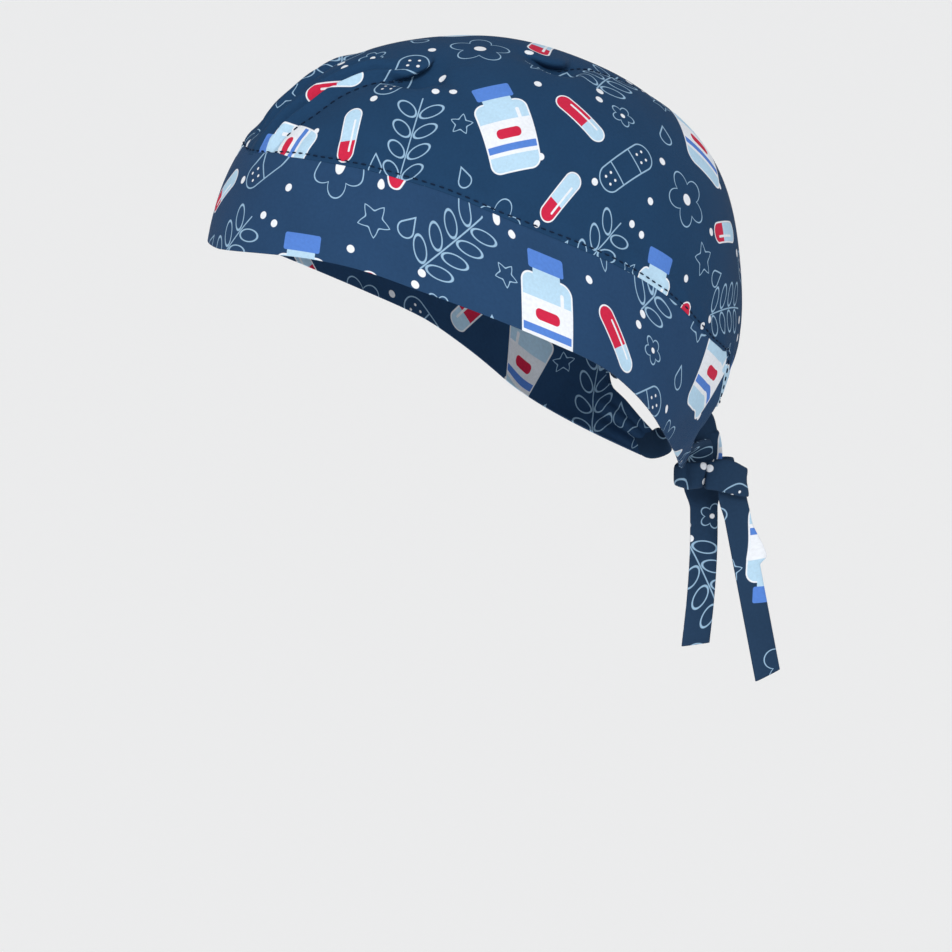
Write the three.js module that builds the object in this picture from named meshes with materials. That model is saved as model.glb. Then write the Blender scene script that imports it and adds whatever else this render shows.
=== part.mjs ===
// Bandana cap: a darted crown on a wide band, knotted at the back with two flat ties.
// Millimetres, +Z up. The cap's front is towards -Y and its left side, as worn, towards +X.
// The origin is in the middle of the opening, level with the band's lower edge at the sides.
import * as THREE from "three";
import { mergeGeometries, mergeVertices } from "three/addons/utils/BufferGeometryUtils.js";

// The form that the cloth is stretched to is an egg: half sizes and the height of its widest place, the
// share by which it is fuller high at the front, the back and the sides, and how far its top leans forward
const form = { halfWidth: 79, halfLength: 98, halfHeight: 95.5, middle: 14 };
const fullness = { front: 0.035, back: 0.06, side: 0.012, lean: 4.5 };

// Cloth thickness of each piece, and the gap that sewn edges keep
const cloth = { crown: 1.2, band: 1.6, tie: 1.6, seamGap: 0.4 };

// Lower edge of the band, by the angle round the form from the middle of the front
const rimLine = [
  { round: 0, height: 38.5 },
  { round: 20, height: 39.2 },
  { round: 34, height: 38.5 },
  { round: 47, height: 35.2 },
  { round: 60, height: 28.4 },
  { round: 72, height: 20.9 },
  { round: 85, height: 11.5 },
  { round: 98, height: 0.9 },
  { round: 106, height: -8.2 },
  { round: 117, height: -22 },
];

// Seam between crown and band, which goes on across the back as the crown's hem
const seamLine = [
  { round: 0, height: 70.2 },
  { round: 20, height: 71 },
  { round: 42, height: 68.4 },
  { round: 55, height: 64.5 },
  { round: 66, height: 59.7 },
  { round: 77, height: 52.4 },
  { round: 90, height: 43.6 },
  { round: 102, height: 34.6 },
  { round: 115, height: 22.4 },
  { round: 128, height: 7.6 },
  { round: 139, height: -2 },
  { round: 150, height: -11 },
  { round: 165, height: -19 },
  { round: 180, height: -22 },
];
const seamEnd = 139;

// Darts run over the crown beside its middle: angle over the form from the front, distance from the
// middle line and depth of the fold
const dartLine = [
  { over: 34, aside: 10, depth: 0.6 },
  { over: 48, aside: 13, depth: 1.4 },
  { over: 60, aside: 18, depth: 2 },
  { over: 69, aside: 22.5, depth: 4.2 },
  { over: 78, aside: 23, depth: 1.2 },
  { over: 88, aside: 23, depth: 0.2 },
  { over: 98, aside: 22.5, depth: 1.2 },
  { over: 107, aside: 22, depth: 4.2 },
  { over: 118, aside: 20, depth: 2.4 },
  { over: 150, aside: 15, depth: 1.2 },
  { over: 204, aside: 10, depth: 0.4 },
];
const dartWidth = 8;

// The knot at the back, with its middle and the distance of its inner and outer layers of strap from it
const strapWidth = 10;
const knot = { middle: new THREE.Vector3(0, 94, -51.3), innerLayer: 1.2, outerLayer: 3.5, bend: 6 };

// Where the band goes over into the left tie, from the knot's middle, and the lie of the strap there.
// The band follows the form up to an angle round it and is pulled off it from there, its upper edge
// sewn to the crown for a share of the way and its lower edge leading off along the form.
const bandEnd = { aside: 16, back: -18, up: 10, straightFrom: 117, sewnShare: 0.38, pullLead: 18 };
const bandEndWay = new THREE.Vector3(-0.78, 0.55, -0.3).normalize();
const bandEndLie = new THREE.Vector3(-0.2, 0.6, 0.78).projectOnPlane(bandEndWay).normalize();

// Each tie goes down into the knot, turns round the other tie and drops to its free end: distances
// backwards from the knot's middle, and the height of the free end below it
const ties = [
  { name: "left", hand: 1, enterBack: -4.5, turnBack: 9.5, dropBack: -1, endBack: -3.5, endUp: -63.5 },
  { name: "right", hand: -1, enterBack: 2.5, turnBack: -13.5, dropBack: 8.7, endBack: 22.8, endUp: -76.5 },
];

// On its way into the knot a tie passes over the other one: distance aside, share of the way back from
// the band's end, height, and the way across the strap, backwards and up
const knotEntry = [
  { aside: 8, share: 0.44, up: 10.6, lieBack: 0.85, lieUp: 0.55 },
  { aside: 3.6, share: 0.87, up: 10, lieBack: 1, lieUp: 0.2 },
];

// Shares of the free end's length at which it is placed, and steps in each bend of a strap
const freeShares = [0.3, 0.65, 1];
const bendSteps = 3;

// How finely each surface is divided
const crownGrid = { along: 36, across: 6, down: 13 };
const bandGrid = { around: 60, taper: 10, down: 5 };
const tieGrid = { along: 64, across: 2 };

// Reads a column of a table at any place, as a smooth curve through its rows
function readTable(rows, key, column, at) {
  const last = rows.length - 1;
  let row = 0;
  while (row < last - 1 && at > rows[row + 1][key]) row++;
  const slope = (i) => {
    const before = rows[Math.max(i - 1, 0)];
    const after = rows[Math.min(i + 1, last)];
    return (after[column] - before[column]) / (after[key] - before[key]);
  };
  const start = rows[row];
  const end = rows[row + 1];
  const span = end[key] - start[key];
  const t = THREE.MathUtils.clamp((at - start[key]) / span, 0, 1);
  const risen = t * t * (3 - 2 * t);
  const leave = t * (1 - t) * (1 - t) * span * slope(row);
  const arrive = t * t * (1 - t) * span * slope(row + 1);
  return start[column] * (1 - risen) + end[column] * risen + leave - arrive;
}

// A point on the form in the direction of a unit vector from its middle. Each swell comes to 1 at its
// fullest: half way up at the front and the sides, and a third of the way up at the back.
function formPoint(x, y, z) {
  const above = Math.max(z, 0) ** 2;
  const frontSwell = y < 0 ? 4 * above * y ** 2 : 0;
  const backSwell = y > 0 ? 6.75 * above * y ** 4 : 0;
  const sideSwell = 4 * above * x ** 2;
  const { front, back, side, lean } = fullness;
  const full = 1 + front * frontSwell + back * backSwell + side * sideSwell;
  const point = new THREE.Vector3(form.halfWidth * x, form.halfLength * y, form.halfHeight * z);
  point.multiplyScalar(full);
  point.y -= lean * above;
  point.z += form.middle;
  return point;
}

// Finds where a steady change of sign happens between two values
function findCrossing(low, high, value) {
  const sign = Math.sign(value(low));
  for (let step = 0; step < 40; step++) {
    const half = (low + high) / 2;
    if (Math.sign(value(half)) === sign) low = half;
    else high = half;
  }
  return (low + high) / 2;
}

// The direction on the form at an angle round it from the front and a height
function directionAtHeight(round, height) {
  const angle = THREE.MathUtils.degToRad(round);
  const leaning = (rise) => [
    Math.sin(angle) * Math.cos(rise),
    -Math.cos(angle) * Math.cos(rise),
    Math.sin(rise),
  ];
  return leaning(findCrossing(-Math.PI / 4, Math.PI / 3, (rise) => formPoint(...leaning(rise)).z - height));
}

const seamHeight = (round) => readTable(seamLine, "round", "height", Math.abs(round));
const rimHeight = (round) => readTable(rimLine, "round", "height", Math.abs(round));

// Direction of a crown point by its angle over the form from the front and its angle aside
function crownDirection(over, aside) {
  const angle = THREE.MathUtils.degToRad(over);
  const flat = Math.cos(aside);
  return [Math.sin(aside), -Math.cos(angle) * flat, Math.sin(angle) * flat];
}

// The angle round the form of a crown direction
function roundAt(over, aside) {
  const [x, y] = crownDirection(over, aside);
  return THREE.MathUtils.radToDeg(Math.atan2(x, -y));
}

// How far a crown direction lies above the crown's edge, in millimetres of height
function aboveEdge(over, aside) {
  const edge = seamHeight(roundAt(over, aside)) + cloth.seamGap / 2;
  return formPoint(...crownDirection(over, aside)).z - edge;
}

// The crown's edge at an angle round the form, as angles over it and aside
function edgeSpot(round) {
  const [x, y, z] = directionAtHeight(round, seamHeight(round) + cloth.seamGap / 2);
  const over = THREE.MathUtils.radToDeg(Math.atan2(z, -y));
  return { over: over < -90 ? over + 360 : over, aside: Math.asin(x) };
}

const dartAside = (over) => Math.asin(readTable(dartLine, "over", "aside", over) / form.halfWidth);

// A crown point, sunk where a dart or its end pulls the cloth in
function crownPoint(over, aside) {
  const direction = crownDirection(over, aside);
  const point = formPoint(...direction);
  const offDart = (Math.abs(aside) - dartAside(over)) * form.halfWidth;
  const fold = Math.exp(-((offDart / dartWidth) ** 2));
  const sunk = readTable(dartLine, "over", "depth", over) * fold;
  const inward = new THREE.Vector3(...direction).multiplyScalar(-sunk);
  return point.add(inward);
}

// A patch of cloth: a flat grid whose points are put in place by a function of two shares
function clothPatch(columns, rows, place) {
  const patch = new THREE.PlaneGeometry(1, 1, columns, rows);
  const spots = patch.attributes.position;
  for (let i = 0; i < spots.count; i++) {
    const point = place(spots.getX(i) + 0.5, spots.getY(i) + 0.5);
    spots.setXYZ(i, point.x, point.y, point.z);
  }
  patch.deleteAttribute("normal");
  patch.deleteAttribute("uv");
  return patch;
}

// Sews patches into one surface and gives it thickness, inwards from the outer face
function clothWall(patches, thickness) {
  const sewn = mergeVertices(mergeGeometries(patches), 1e-3);
  const corners = sewn.index.array;
  const faces = [];
  for (let i = 0; i < corners.length; i += 3) {
    const [a, b, c] = corners.slice(i, i + 3);
    if (a !== b && b !== c && c !== a) faces.push([a, b, c]);
  }
  sewn.setIndex(faces.flat());
  sewn.computeVertexNormals();
  const spots = sewn.attributes.position;
  const count = spots.count;
  const outer = Array.from(spots.array);
  const inner = outer.map((value, i) => value - thickness * sewn.attributes.normal.array[i]);

  const directed = new Set();
  for (const [a, b, c] of faces) [[a, b], [b, c], [c, a]].forEach(([p, q]) => directed.add(`${p}>${q}`));
  const walls = faces.map(([a, b, c]) => [c + count, b + count, a + count]);
  for (const edge of directed) {
    const [p, q] = edge.split(">").map(Number);
    if (!directed.has(`${q}>${p}`)) walls.push([q, p, p + count], [q, p + count, q + count]);
  }
  const solid = new THREE.BufferGeometry();
  solid.setAttribute("position", new THREE.Float32BufferAttribute([...outer, ...inner], 3));
  solid.setIndex([...faces, ...walls].flat());
  return solid;
}

// The crown: a middle strip between the dart lines and a half moon on either side
function makeCrown() {
  const front = (aside) => findCrossing(0, 90, (over) => aboveEdge(over, aside(over)));
  const back = (aside) => findCrossing(270, 90, (over) => aboveEdge(over, aside(over)));
  const strip = (across, along) => {
    const share = 2 * across - 1;
    const aside = (over) => share * dartAside(over);
    const over = THREE.MathUtils.lerp(front(aside), back(aside), along);
    return crownPoint(over, aside(over));
  };
  const first = front(dartAside);
  const last = back(dartAside);
  const firstRound = roundAt(first, dartAside(first));
  const lastRound = roundAt(last, dartAside(last));
  const side = (along, up, hand) => {
    const topOver = THREE.MathUtils.lerp(first, last, along);
    const foot = edgeSpot(THREE.MathUtils.lerp(firstRound, lastRound, along));
    const over = THREE.MathUtils.lerp(foot.over, topOver, up);
    const aside = THREE.MathUtils.lerp(foot.aside, dartAside(topOver), up);
    return crownPoint(over, hand * aside);
  };
  const { along: columns, across, down } = crownGrid;
  return clothWall([
    clothPatch(across, columns, strip),
    clothPatch(columns, down, (along, up) => side(along, up, 1)),
    clothPatch(columns, down, (along, up) => side(1 - along, up, -1)),
  ], cloth.crown);
}

// The band's left end: the lower and upper corner of its outer face
function bandEndCorners() {
  const middle = knot.middle.clone().add(new THREE.Vector3(bandEnd.aside, bandEnd.back, bandEnd.up));
  middle.addScaledVector(bandEndWay.clone().cross(bandEndLie), cloth.band / 2);
  const corner = (side) => middle.clone().addScaledVector(bandEndLie, (side * strapWidth) / 2);
  return { low: corner(-1), high: corner(1) };
}

// The band: along the form at the front and sides, then pulled off it to the ties
function makeBand() {
  const { straightFrom, sewnShare, pullLead } = bandEnd;
  const end = bandEndCorners();
  const wrapped = (round, up) => {
    const top = seamHeight(round) - cloth.seamGap / 2;
    return formPoint(...directionAtHeight(round, THREE.MathUtils.lerp(rimHeight(round), top, up)));
  };
  const lowStart = wrapped(straightFrom, 0);
  const highStart = wrapped(straightFrom, 1);
  const rimWay = lowStart.clone().sub(wrapped(straightFrom - 1, 0)).setLength(pullLead);
  const lowEdge = new THREE.QuadraticBezierCurve3(lowStart, lowStart.clone().add(rimWay), end.low);
  const pulled = (along, up) => {
    const low = lowEdge.getPoint(along);
    const sewn = Math.min(along / sewnShare, 1);
    const high = wrapped(THREE.MathUtils.lerp(straightFrom, seamEnd, sewn), 1);
    high.lerp(end.high, Math.max((along - sewnShare) / (1 - sewnShare), 0));
    const swell = wrapped(straightFrom, up).sub(lowStart.clone().lerp(highStart, up));
    return low.lerp(high, up).addScaledVector(swell, 1 - along);
  };
  const mirrored = (point) => point.setX(-point.x);
  const roundOf = (share) => THREE.MathUtils.lerp(-straightFrom, straightFrom, share);
  const { around: columns, taper, down } = bandGrid;
  return clothWall([
    clothPatch(columns, down, (share, up) => wrapped(roundOf(share), up)),
    clothPatch(taper, down, pulled),
    clothPatch(taper, down, (along, up) => mirrored(pulled(1 - along, up))),
  ], cloth.band);
}

// Places along a bend between two ways at right angles, each with the way it goes there
function bendStations(start, from, to, radius) {
  return Array.from({ length: bendSteps + 1 }, (_, step) => {
    const angle = (step / bendSteps) * (Math.PI / 2);
    const spot = start.clone().addScaledVector(from, radius * Math.sin(angle));
    spot.addScaledVector(to, radius * (1 - Math.cos(angle)));
    const way = from.clone().multiplyScalar(Math.cos(angle)).addScaledVector(to, Math.sin(angle));
    return { spot, way };
  });
}

// The stations of a tie from the knot's middle, each with its place and the way across the strap
function tieStations({ hand, enterBack, turnBack, dropBack, endBack, endUp }) {
  const { innerLayer, outerLayer, bend } = knot;
  const at = (x, y, z) => new THREE.Vector3(x, y, z);
  const down = at(0, 0, -1);
  const onward = at(0, hand, 0);
  const backward = at(0, -hand, 0);
  const aside = at(-hand, 0, 0);
  const turnRadius = (innerLayer + outerLayer) / 2;
  const mirror = at(hand, 1, 1);
  const start = at(bandEnd.aside, bandEnd.back, bandEnd.up).addScaledVector(bandEndWay, cloth.seamGap);
  const lead = start.clone().addScaledVector(bandEndWay, strapWidth / 4);
  const offBand = [start, lead].map((spot) => ({
    spot: spot.multiply(mirror),
    lie: bandEndLie.clone().multiply(mirror),
  }));
  const entry = knotEntry.map((row) => ({
    spot: at(hand * row.aside, THREE.MathUtils.lerp(bandEnd.back, enterBack, row.share), row.up),
    lie: at(0, row.lieBack, row.lieUp),
  }));
  const intoKnot = bendStations(at(hand * innerLayer, enterBack, bend), down, onward, bend);
  const turnStart = at(hand * innerLayer, turnBack - hand * turnRadius, 0);
  const turnOut = bendStations(turnStart, onward, aside, turnRadius);
  const turnIn = bendStations(turnOut.at(-1).spot, aside, backward, turnRadius);
  const dropStart = at(-hand * outerLayer, dropBack + hand * bend, 0);
  const drop = bendStations(dropStart, backward, down, bend);
  const freeEnd = at(-hand * outerLayer, endBack, endUp);
  const free = freeShares.map((share) => ({
    spot: drop.at(-1).spot.clone().lerp(freeEnd, share),
    lie: at(0, -1, 0),
  }));
  const flat = ({ spot, way }, side) => ({ spot, lie: at(0, -way.z * side, way.y * side) });
  const upright = ({ spot }) => ({ spot, lie: at(0, 0, hand) });
  return [
    ...offBand,
    ...entry,
    ...intoKnot.map((station) => flat(station, 1)),
    ...turnOut.map(upright),
    ...turnIn.slice(1).map(upright),
    ...drop.map((station) => flat(station, -1)),
    ...free,
  ];
}

// A tie: one flat strap along its stations
function makeTie(tie) {
  const stations = tieStations(tie);
  const route = new THREE.CatmullRomCurve3(stations.map(({ spot }) => spot), false, "centripetal");
  const lies = new THREE.CatmullRomCurve3(stations.map(({ lie }) => lie), false, "centripetal");
  route.arcLengthDivisions = 2000;
  const place = (across, along) => {
    const t = route.getUtoTmapping(along);
    const way = route.getTangent(t);
    const lie = lies.getPoint(t).projectOnPlane(way).normalize();
    const outward = lie.clone().cross(way);
    const point = route.getPoint(t).addScaledVector(lie, (across - 0.5) * strapWidth);
    return point.addScaledVector(outward, cloth.tie / 2).add(knot.middle);
  };
  return clothWall([clothPatch(tieGrid.across, tieGrid.along, place)], cloth.tie);
}

const navy = { color: 0x24456b, roughness: 0.8, metalness: 0 };

function clothMesh(name, geometry) {
  const piece = new THREE.Mesh(geometry, new THREE.MeshStandardMaterial(navy));
  piece.name = name;
  return piece;
}

const cap = new THREE.Group();
cap.add(clothMesh("crown", makeCrown()));
cap.add(clothMesh("band", makeBand()));
for (const tie of ties) cap.add(clothMesh(`tie_${tie.name}`, makeTie(tie)));

export default cap;
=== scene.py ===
# Bandana cap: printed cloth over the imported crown, band and ties
import math
import bmesh
import bpy
from mathutils import Matrix, Vector, noise


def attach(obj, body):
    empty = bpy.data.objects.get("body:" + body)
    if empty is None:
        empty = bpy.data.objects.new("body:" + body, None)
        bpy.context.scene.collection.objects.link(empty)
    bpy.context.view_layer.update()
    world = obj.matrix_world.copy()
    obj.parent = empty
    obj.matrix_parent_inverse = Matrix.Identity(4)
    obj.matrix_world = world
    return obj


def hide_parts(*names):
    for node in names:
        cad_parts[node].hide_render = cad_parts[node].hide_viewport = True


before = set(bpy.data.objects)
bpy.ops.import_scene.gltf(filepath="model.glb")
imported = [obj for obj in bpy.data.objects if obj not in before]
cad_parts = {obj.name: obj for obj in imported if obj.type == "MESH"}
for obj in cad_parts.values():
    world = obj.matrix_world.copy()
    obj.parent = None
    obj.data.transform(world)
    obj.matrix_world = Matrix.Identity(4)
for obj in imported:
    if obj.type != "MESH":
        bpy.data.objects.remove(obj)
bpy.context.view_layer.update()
scene = bpy.context.scene
scene.view_settings.view_transform = "Standard"
print("packed cap loaded,", len(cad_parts), "nodes")

mm = 0.001

cameraSetup = {
    "azimuth": 66.0,  # degrees round from straight in front
    "elevation": 9.0,
    "distance": 1.5,
    "pixelsPerMetre": 2830.0,  # at the origin
    "imageSize": 952,
    "originPixel": (474, 346),
    "sensor": 36.0,
    "farthest": 60.0,
}


def placeCamera(setup):
    turn = math.radians(setup["azimuth"])
    rise = math.radians(setup["elevation"])
    right = Vector((math.cos(turn), math.sin(turn), 0))
    back = Vector((math.sin(turn) * math.cos(rise), -math.cos(turn) * math.cos(rise), math.sin(rise)))
    up = back.cross(right)
    half = setup["imageSize"] / 2
    aside = (setup["originPixel"][0] - half) / setup["pixelsPerMetre"]
    above = (half - setup["originPixel"][1]) / setup["pixelsPerMetre"]
    target = -(aside * right + above * up)
    lens = bpy.data.cameras.new("studioCamera")
    lens.sensor_width = setup["sensor"]
    lens.lens = setup["sensor"] * setup["pixelsPerMetre"] * setup["distance"] / setup["imageSize"]
    lens.clip_end = setup["farthest"]
    camera = bpy.data.objects.new("studioCamera", lens)
    turned = Matrix((right, up, back)).transposed().to_4x4()
    camera.matrix_world = Matrix.Translation(target + back * setup["distance"]) @ turned
    scene.collection.objects.link(camera)
    scene.camera = camera
    return right, back


viewRight, viewBack = placeCamera(cameraSetup)
print("camera placed")

# the form that the cloth is stretched to, and the lines that are cut on it, in millimetres
eggForm = {
    "half": (79.0, 98.0, 95.5),  # half width, length and height
    "middle": 14.0,  # height of the widest place
    "front": 0.035, "back": 0.06, "side": 0.012,  # shares by which it is fuller there
    "lean": 4.5,  # how far its top leans forward
}
# heights by degrees round from the front
rimLine = [(0, 38.5), (20, 39.2), (34, 38.5), (47, 35.2), (60, 28.4), (72, 20.9), (85, 11.5), (98, 0.9),
           (106, -8.2), (117, -22)]
seamLine = [(0, 70.2), (20, 71), (42, 68.4), (55, 64.5), (66, 59.7), (77, 52.4), (90, 43.6), (102, 34.6),
            (115, 22.4), (128, 7.6), (137, 0.7), (141, -2.4), (143.8, -18.8), (150, -20.8), (160, -22.6),
            (180, -23.8)]  # behind 142 degrees it drops to the crown's hem at the back
# a dart's distance from the middle line, and its depth, by degrees over from the front
dartAsideLine = [(34, 11), (43, 13.5), (49, 17), (55, 18.2), (61, 20.6), (67, 22.6), (72, 22.6), (88, 22.6),
                 (103, 22.6), (110, 19.5), (120, 14), (150, 9), (204, 7)]
dartDepthLine = [(34, 0.6), (48, 1.4), (60, 2), (69, 3.2), (78, 1.2), (88, 0.2), (97, 1.0), (105, 3.0),
                 (116, 2.0), (150, 1.0), (204, 0.4)]
seamGap = 0.4  # between the crown's edge and the band's


def readLine(rows, at):  # a smooth curve through a line's rows
    last = len(rows) - 1
    row = 0
    while row < last - 1 and at > rows[row + 1][0]:
        row += 1

    def slope(i):
        before = rows[max(i - 1, 0)]
        after = rows[min(i + 1, last)]
        return (after[1] - before[1]) / (after[0] - before[0])

    start, end = rows[row], rows[row + 1]
    span = end[0] - start[0]
    t = min(max((at - start[0]) / span, 0), 1)
    risen = t * t * (3 - 2 * t)
    leave = t * (1 - t) * (1 - t) * span * slope(row)
    arrive = t * t * (1 - t) * span * slope(row + 1)
    return start[1] * (1 - risen) + end[1] * risen + leave - arrive


def mix(a, b, share):
    return a + (b - a) * share


def ease(low, high, at):  # 0 below low, 1 above high
    t = min(max((at - low) / (high - low), 0), 1)
    return t * t * (3 - 2 * t)


def eggPoint(way):  # each swell comes to its whole share at its fullest place
    x, y, z = way
    above = max(z, 0) ** 2
    full = 1 + eggForm["side"] * 4 * above * x * x
    full += eggForm["front"] * 4 * above * y * y if y < 0 else eggForm["back"] * 6.75 * above * y ** 4
    wide, long, high = eggForm["half"]
    back = long * y * full - eggForm["lean"] * above
    return Vector((wide * x * full, back, high * z * full + eggForm["middle"]))


def findCrossing(low, high, value, halvings=34):  # where a value changes its sign
    positive = value(low) > 0
    for halving in range(halvings):
        half = (low + high) / 2
        if (value(half) > 0) == positive:
            low = half
        else:
            high = half
    return (low + high) / 2


def wayAtHeight(around, height):
    angle = math.radians(around)

    def leaning(rise):
        flat = math.cos(rise)
        return Vector((math.sin(angle) * flat, -math.cos(angle) * flat, math.sin(rise)))

    def higher(rise):
        return eggPoint(leaning(rise)).z - height

    return leaning(findCrossing(-math.pi / 4, math.pi / 3, higher))


def seamHeight(around):
    return readLine(seamLine, abs(around))


def rimHeight(around):
    return readLine(rimLine, abs(around))


def crownWay(over, aside):
    angle = math.radians(over)
    flat = math.cos(aside)
    return Vector((math.sin(aside), -math.cos(angle) * flat, math.sin(angle) * flat))


def aroundAt(over, aside):
    way = crownWay(over, aside)
    return math.degrees(math.atan2(way.x, -way.y))


def aboveEdge(over, aside):
    return eggPoint(crownWay(over, aside)).z - seamHeight(aroundAt(over, aside)) - seamGap / 2


def edgeSpot(around):
    way = wayAtHeight(around, seamHeight(around) + seamGap / 2)
    over = math.degrees(math.atan2(way.z, -way.y))
    return (over + 360 if over < -90 else over), math.asin(way.x)


def dartAside(over):
    return math.asin(readLine(dartAsideLine, over) / eggForm["half"][0])


def clothGrid(bm, columns, rows, place, marks=None):
    # a flat grid whose vertices are put in place by a function of two shares
    made = bmesh.ops.create_grid(bm, x_segments=columns, y_segments=rows, size=0.5)
    for vert in made["verts"]:
        across, along = vert.co.x + 0.5, vert.co.y + 0.5
        vert.co = place(across, along) * mm
        if marks:
            marks(vert, across, along)


def pieceFrom(bm, name, materials):
    mesh = bpy.data.meshes.new(name)
    bm.to_mesh(mesh)
    bm.free()
    for material in materials:
        mesh.materials.append(material)
    mesh.shade_smooth()
    piece = bpy.data.objects.new(name, mesh)
    scene.collection.objects.link(piece)
    return piece


def feed(tree, node, inputs):  # sets a node's inputs, or links them
    for slot, value in inputs.items():
        if isinstance(value, bpy.types.NodeSocket):
            tree.links.new(value, node.inputs[slot])
        else:
            node.inputs[slot].default_value = value
    return node


def addNode(tree, kind, inputs, **settings):
    node = tree.nodes.new("ShaderNode" + kind)
    for name, value in settings.items():
        setattr(node, name, value)
    return feed(tree, node, inputs)


class Field:  # a number that varies over the cloth, worked out with math nodes
    def __init__(self, tree, socket):
        self.tree = tree
        self.socket = socket

    def math(self, operation, *others, clamp=False):
        values = [value.socket if isinstance(value, Field) else value for value in (self, *others)]
        node = addNode(self.tree, "Math", dict(enumerate(values)), operation=operation, use_clamp=clamp)
        return Field(self.tree, node.outputs[0])

    def __add__(self, other):
        return self.math("ADD", other)

    def __sub__(self, other):
        return self.math("SUBTRACT", other)

    def __mul__(self, other):
        return self.math("MULTIPLY", other)

    def __neg__(self):
        return self.math("MULTIPLY", -1)

    def __abs__(self):
        return self.math("ABSOLUTE")

    def most(self, other):
        return self.math("MAXIMUM", other)

    def least(self, other):
        return self.math("MINIMUM", other)

    def reach(self, other):  # length of the vector from two fields
        return (self * self).math("MULTIPLY_ADD", 1, other * other).math("SQRT")

    def turned(self, other, degrees):
        c, s = math.cos(math.radians(degrees)), math.sin(math.radians(degrees))
        return self * c + other * s, other * c - self * s


inks = {  # print colours, linear; the three grounds are one navy with painted light: the crown's and the ties' are darkened and greyed by painted shade, and the band's is lightened by a painted sheen
    "crownGroundPaintedShade": (0.0122, 0.0475, 0.1140, 1),
    "bandGroundPaintedSheen": (0.0182, 0.0555, 0.1310, 1),
    "tieGroundPaintedShade": (0.0160, 0.0420, 0.0900, 1),
    "white": (0.80, 0.83, 0.88, 1),
    "pale": (0.46, 0.66, 0.82, 1),
    "blue": (0.090, 0.220, 0.630, 1),
    "red": (0.58, 0.020, 0.062, 1),
    "line": (0.30, 0.47, 0.64, 1),
}

printLayout = {  # one repeat of the print in millimetres, dropped by half from column to column
    "repeat": 80.0,
    "edge": 0.16,  # softness of an ink edge
    "line": 0.24,  # half the width of a drawn line
    "dotRadius": 1.35,
    "dots": [(-37, -15), (-7, 6), (16, 2), (37, -5), (-7, 37), (16, 37), (-5, -18), (-37, 34), (-38, -33),
             (17, -38)],
    "daisies": [(-22, -20, 10), (25, 34, 4.6)],  # place and size
    "sprigs": [(24, -22, -28)],  # place and turn
    "stars": [(-3, -30, 6), (-36.5, 19, 4.2)],  # place and size
    "drops": [(8, -27, -20, 2.8), (-36.5, -3, 15, 2.6)],  # place, turn and size
    "plasters": [(28, 13, -38)],  # place and turn
    "capsules": [(8, 25, 52, "pale", "red"), (3, -7, -32, "red", "pale")],  # place, turn and inks
    "bottles": [(-20, 17, 14, 0.85)],  # place, turn and scale
    "bottleBoxes": [  # ink, middle across and up, half width and height, corner
        ("white", 0, -4, 11.7, 16.7, 4.7),
        ("pale", 0, -4, 11, 16, 4),
        ("white", 0, -5, 11, 8, 0.5),
        ("blue", 0, -9.6, 11, 1.6, 0.3),
        ("red", 0, -3.2, 5.5, 2.3, 2),
        ("pale", 0, 13.5, 6.2, 2.4, 0.5),
        ("blue", 0, 18, 8, 3.6, 1),
        ("white", 6.8, 3.5, 0.8, 4.5, 0.7),
    ],
}


def roundBox(x, y, halfWide, halfTall, corner):  # distance from a box with round corners
    ax = abs(x) - (halfWide - corner)
    ay = abs(y) - (halfTall - corner)
    return ax.most(0).reach(ay.most(0)) + ax.most(ay).least(0) - corner


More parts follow.
